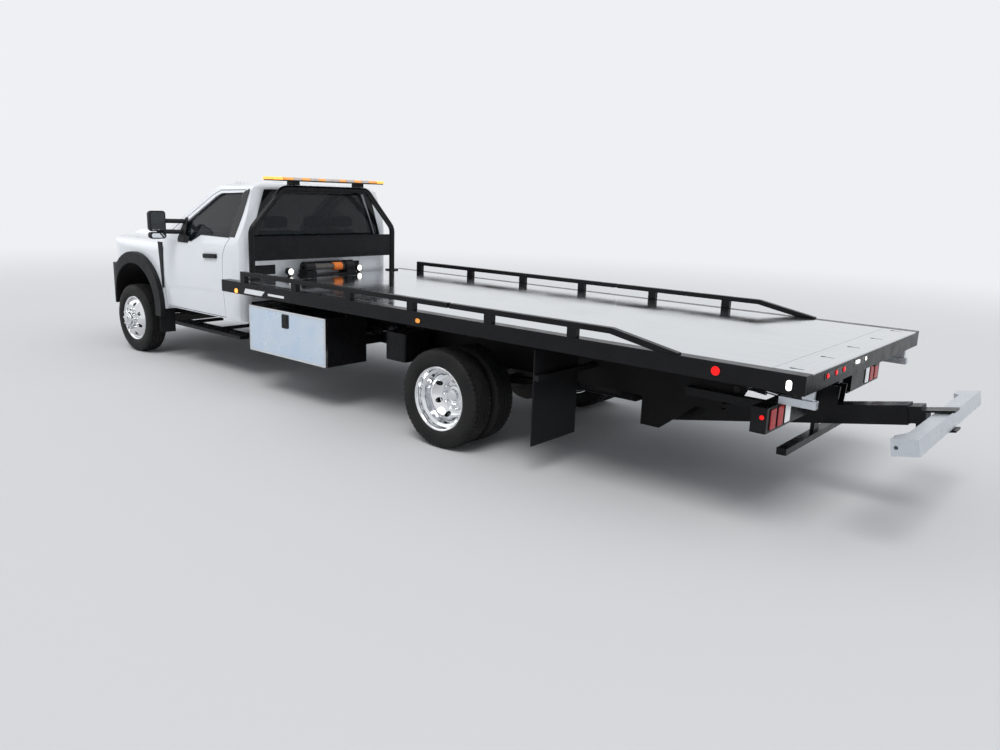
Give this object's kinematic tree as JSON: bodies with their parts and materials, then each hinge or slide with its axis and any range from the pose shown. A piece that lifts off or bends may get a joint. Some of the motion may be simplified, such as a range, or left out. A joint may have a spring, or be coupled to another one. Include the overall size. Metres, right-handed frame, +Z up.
{
  "type": "flatbed tow truck",
  "caption": "Two-door rollback tow truck with a bed that tilts and slides, a bed winch and a rear wheel lift.",
  "frame": {"origin": "on the ground, midway along the truck's overall length and on its centre plane", "axes": "+Z up, the front of the truck faces -Y, its left side is +X"},
  "size_m": [2.6, 9.6234, 2.101],
  "materials": {
    "amber_lamp": "amber lens",
    "cab_paint": "gloss white",
    "cast": "rough cast",
    "frame_paint": "semi-gloss black",
    "galvanised": "silver grey",
    "glass": "tinted",
    "lamp": "clear lens",
    "polished": "polished",
    "rod_chrome": "ground and plated",
    "rubber": "matt",
    "seat_cloth": "woven",
    "steel": "bare",
    "tread_plate": "bright sheet",
    "trim": "grained black",
    "tyre": "moulded"
  },
  "bodies": {
    "chassis": {"chassis_frame": "frame_paint", "engine_block": "cast", "axles": "cast", "leaf_springs": "steel", "drive_shaft": "steel", "exhaust": "steel", "tanks": "frame_paint", "cab_shell": "cab_paint", "cab_glass": "glass", "fenders": "cab_paint", "wheel_flares": "trim", "grille": "trim", "headlamps": "lamp", "front_bumper": "trim", "dashboard": "trim", "steering_wheel": "trim", "seats": "seat_cloth", "running_boards": "frame_paint", "toolboxes": "frame_paint", "mud_flaps": "rubber", "lamp_panels": "frame_paint"},
    "hood": {"hood": "cab_paint"},
    "door_left": {"door_left": "cab_paint", "door_glass_left": "glass", "mirror_left": "trim"},
    "door_right": {"door_right": "cab_paint", "door_glass_right": "glass", "mirror_right": "trim"},
    "knuckle_left": {"knuckle_left": "cast"},
    "knuckle_right": {"knuckle_right": "cast"},
    "front_wheel_left": {"front_wheel_left": "polished", "front_tyre_left": "tyre"},
    "front_wheel_right": {"front_wheel_right": "polished", "front_tyre_right": "tyre"},
    "rear_wheels_left": {"rear_wheels_left": "polished", "rear_tyres_left": "tyre"},
    "rear_wheels_right": {"rear_wheels_right": "polished", "rear_tyres_right": "tyre"},
    "toolbox_door_left": {"toolbox_door_left": "tread_plate"},
    "toolbox_door_right": {"toolbox_door_right": "tread_plate"},
    "tilt_frame": {"tilt_frame": "frame_paint"},
    "tilt_barrels": {"tilt_barrels": "frame_paint"},
    "tilt_rods": {"tilt_rods": "rod_chrome"},
    "bed": {"bed_frame": "frame_paint", "deck_plate": "tread_plate", "tail_plate": "tread_plate", "side_rails": "frame_paint", "stowed_arms": "galvanised", "headboard": "frame_paint", "light_bar": "amber_lamp", "winch": "frame_paint", "work_lamps": "lamp"},
    "winch_drum": {"winch_drum": "steel"},
    "lift_boom": {"lift_boom": "frame_paint"},
    "lift_stage": {"lift_stage": "frame_paint"},
    "crossbar": {"crossbar": "galvanised"},
    "lift_barrel": {"lift_barrel": "frame_paint"},
    "lift_rod": {"lift_rod": "rod_chrome"}
  },
  "joints": [
    {"name": "steer_left", "type": "hinge", "parent": "chassis", "child": "knuckle_left", "pos_m": [0.8, -3.83866, 0.402], "axis": [0, 0, 1], "range_deg": [-32, 32]},
    {"name": "steer_right", "type": "hinge", "parent": "chassis", "child": "knuckle_right", "pos_m": [-0.8, -3.83866, 0.402], "axis": [0, 0, 1], "range_deg": [-32, 32]},
    {"name": "front_wheel_spin_left", "type": "hinge", "parent": "knuckle_left", "child": "front_wheel_left", "pos_m": [0.94, -3.83866, 0.402], "axis": [1, 0, 0], "continuous": true},
    {"name": "front_wheel_spin_right", "type": "hinge", "parent": "knuckle_right", "child": "front_wheel_right", "pos_m": [-0.94, -3.83866, 0.402], "axis": [1, 0, 0], "continuous": true},
    {"name": "rear_wheel_spin_left", "type": "hinge", "parent": "chassis", "child": "rear_wheels_left", "pos_m": [0.945, 1.36834, 0.402], "axis": [1, 0, 0], "continuous": true},
    {"name": "rear_wheel_spin_right", "type": "hinge", "parent": "chassis", "child": "rear_wheels_right", "pos_m": [-0.945, 1.36834, 0.402], "axis": [1, 0, 0], "continuous": true},
    {"name": "door_swing_left", "type": "hinge", "parent": "chassis", "child": "door_left", "pos_m": [0.966, -3.06866, 1], "axis": [0, 0, -1], "range_deg": [0, 62]},
    {"name": "door_swing_right", "type": "hinge", "parent": "chassis", "child": "door_right", "pos_m": [-0.966, -3.06866, 1], "axis": [0, 0, 1], "range_deg": [0, 62]},
    {"name": "hood_lift", "type": "hinge", "parent": "chassis", "child": "hood", "pos_m": [0, -3.16866, 1.45], "axis": [-1, 0, 0], "range_deg": [0, 42]},
    {"name": "toolbox_door_drop_left", "type": "hinge", "parent": "chassis", "child": "toolbox_door_left", "pos_m": [1.178, -0.62266, 0.424], "axis": [0, 1, 0], "range_deg": [0, 88]},
    {"name": "toolbox_door_drop_right", "type": "hinge", "parent": "chassis", "child": "toolbox_door_right", "pos_m": [-1.178, -0.62266, 0.424], "axis": [0, -1, 0], "range_deg": [0, 88]},
    {"name": "bed_tilt", "type": "hinge", "parent": "chassis", "child": "tilt_frame", "pos_m": [0, 3.51934, 0.755], "axis": [-1, 0, 0], "range_deg": [0, 13.2]},
    {"name": "tilt_cylinder_swing", "type": "hinge", "parent": "chassis", "child": "tilt_barrels", "pos_m": [0, -0.83866, 0.6], "axis": [1, 0, 0], "range_deg": [0, 31.92]},
    {"name": "tilt_rod_slide", "type": "slide", "parent": "tilt_barrels", "child": "tilt_rods", "axis": [0, 0.9903, 0.1386], "range_m": [0, 0.40477]},
    {"name": "bed_slide", "type": "slide", "parent": "tilt_frame", "child": "bed", "axis": [0, 1, 0], "range_m": [0, 2.9]},
    {"name": "winch_spin", "type": "hinge", "parent": "bed", "child": "winch_drum", "pos_m": [0, -1.47066, 1.165], "axis": [1, 0, 0], "continuous": true},
    {"name": "lift_lower", "type": "hinge", "parent": "chassis", "child": "lift_boom", "pos_m": [0, 2.81134, 0.385], "axis": [-1, 0, 0], "range_deg": [0, 16]},
    {"name": "lift_cylinder_swing", "type": "hinge", "parent": "chassis", "child": "lift_barrel", "pos_m": [0, 3.06134, 0.745], "axis": [-1, 0, 0], "range_deg": [0, 18.91]},
    {"name": "lift_rod_slide", "type": "slide", "parent": "lift_barrel", "child": "lift_rod", "axis": [0, 0.9908, -0.1351], "range_m": [0, 0.11635]},
    {"name": "lift_extend", "type": "slide", "parent": "lift_boom", "child": "lift_stage", "axis": [0, 0.9833, 0.1822], "range_m": [0, 0.48]},
    {"name": "crossbar_swing", "type": "hinge", "parent": "lift_stage", "child": "crossbar", "pos_m": [0, 4.72811, 0.69957], "axis": [0, -0.1822, 0.9833], "range_deg": [-20, 20]}
  ],
  "couplings": [
    {"joint": "steer_right", "follows": "steer_left", "ratio": 1},
    {"joint": "tilt_cylinder_swing", "follows": "bed_tilt", "ratio": 2.4184},
    {"joint": "tilt_rod_slide", "follows": "bed_tilt", "m_per_rad": 1.7569},
    {"joint": "lift_cylinder_swing", "follows": "lift_lower", "ratio": 1.182},
    {"joint": "lift_rod_slide", "follows": "lift_lower", "m_per_rad": 0.41665}
  ]
}
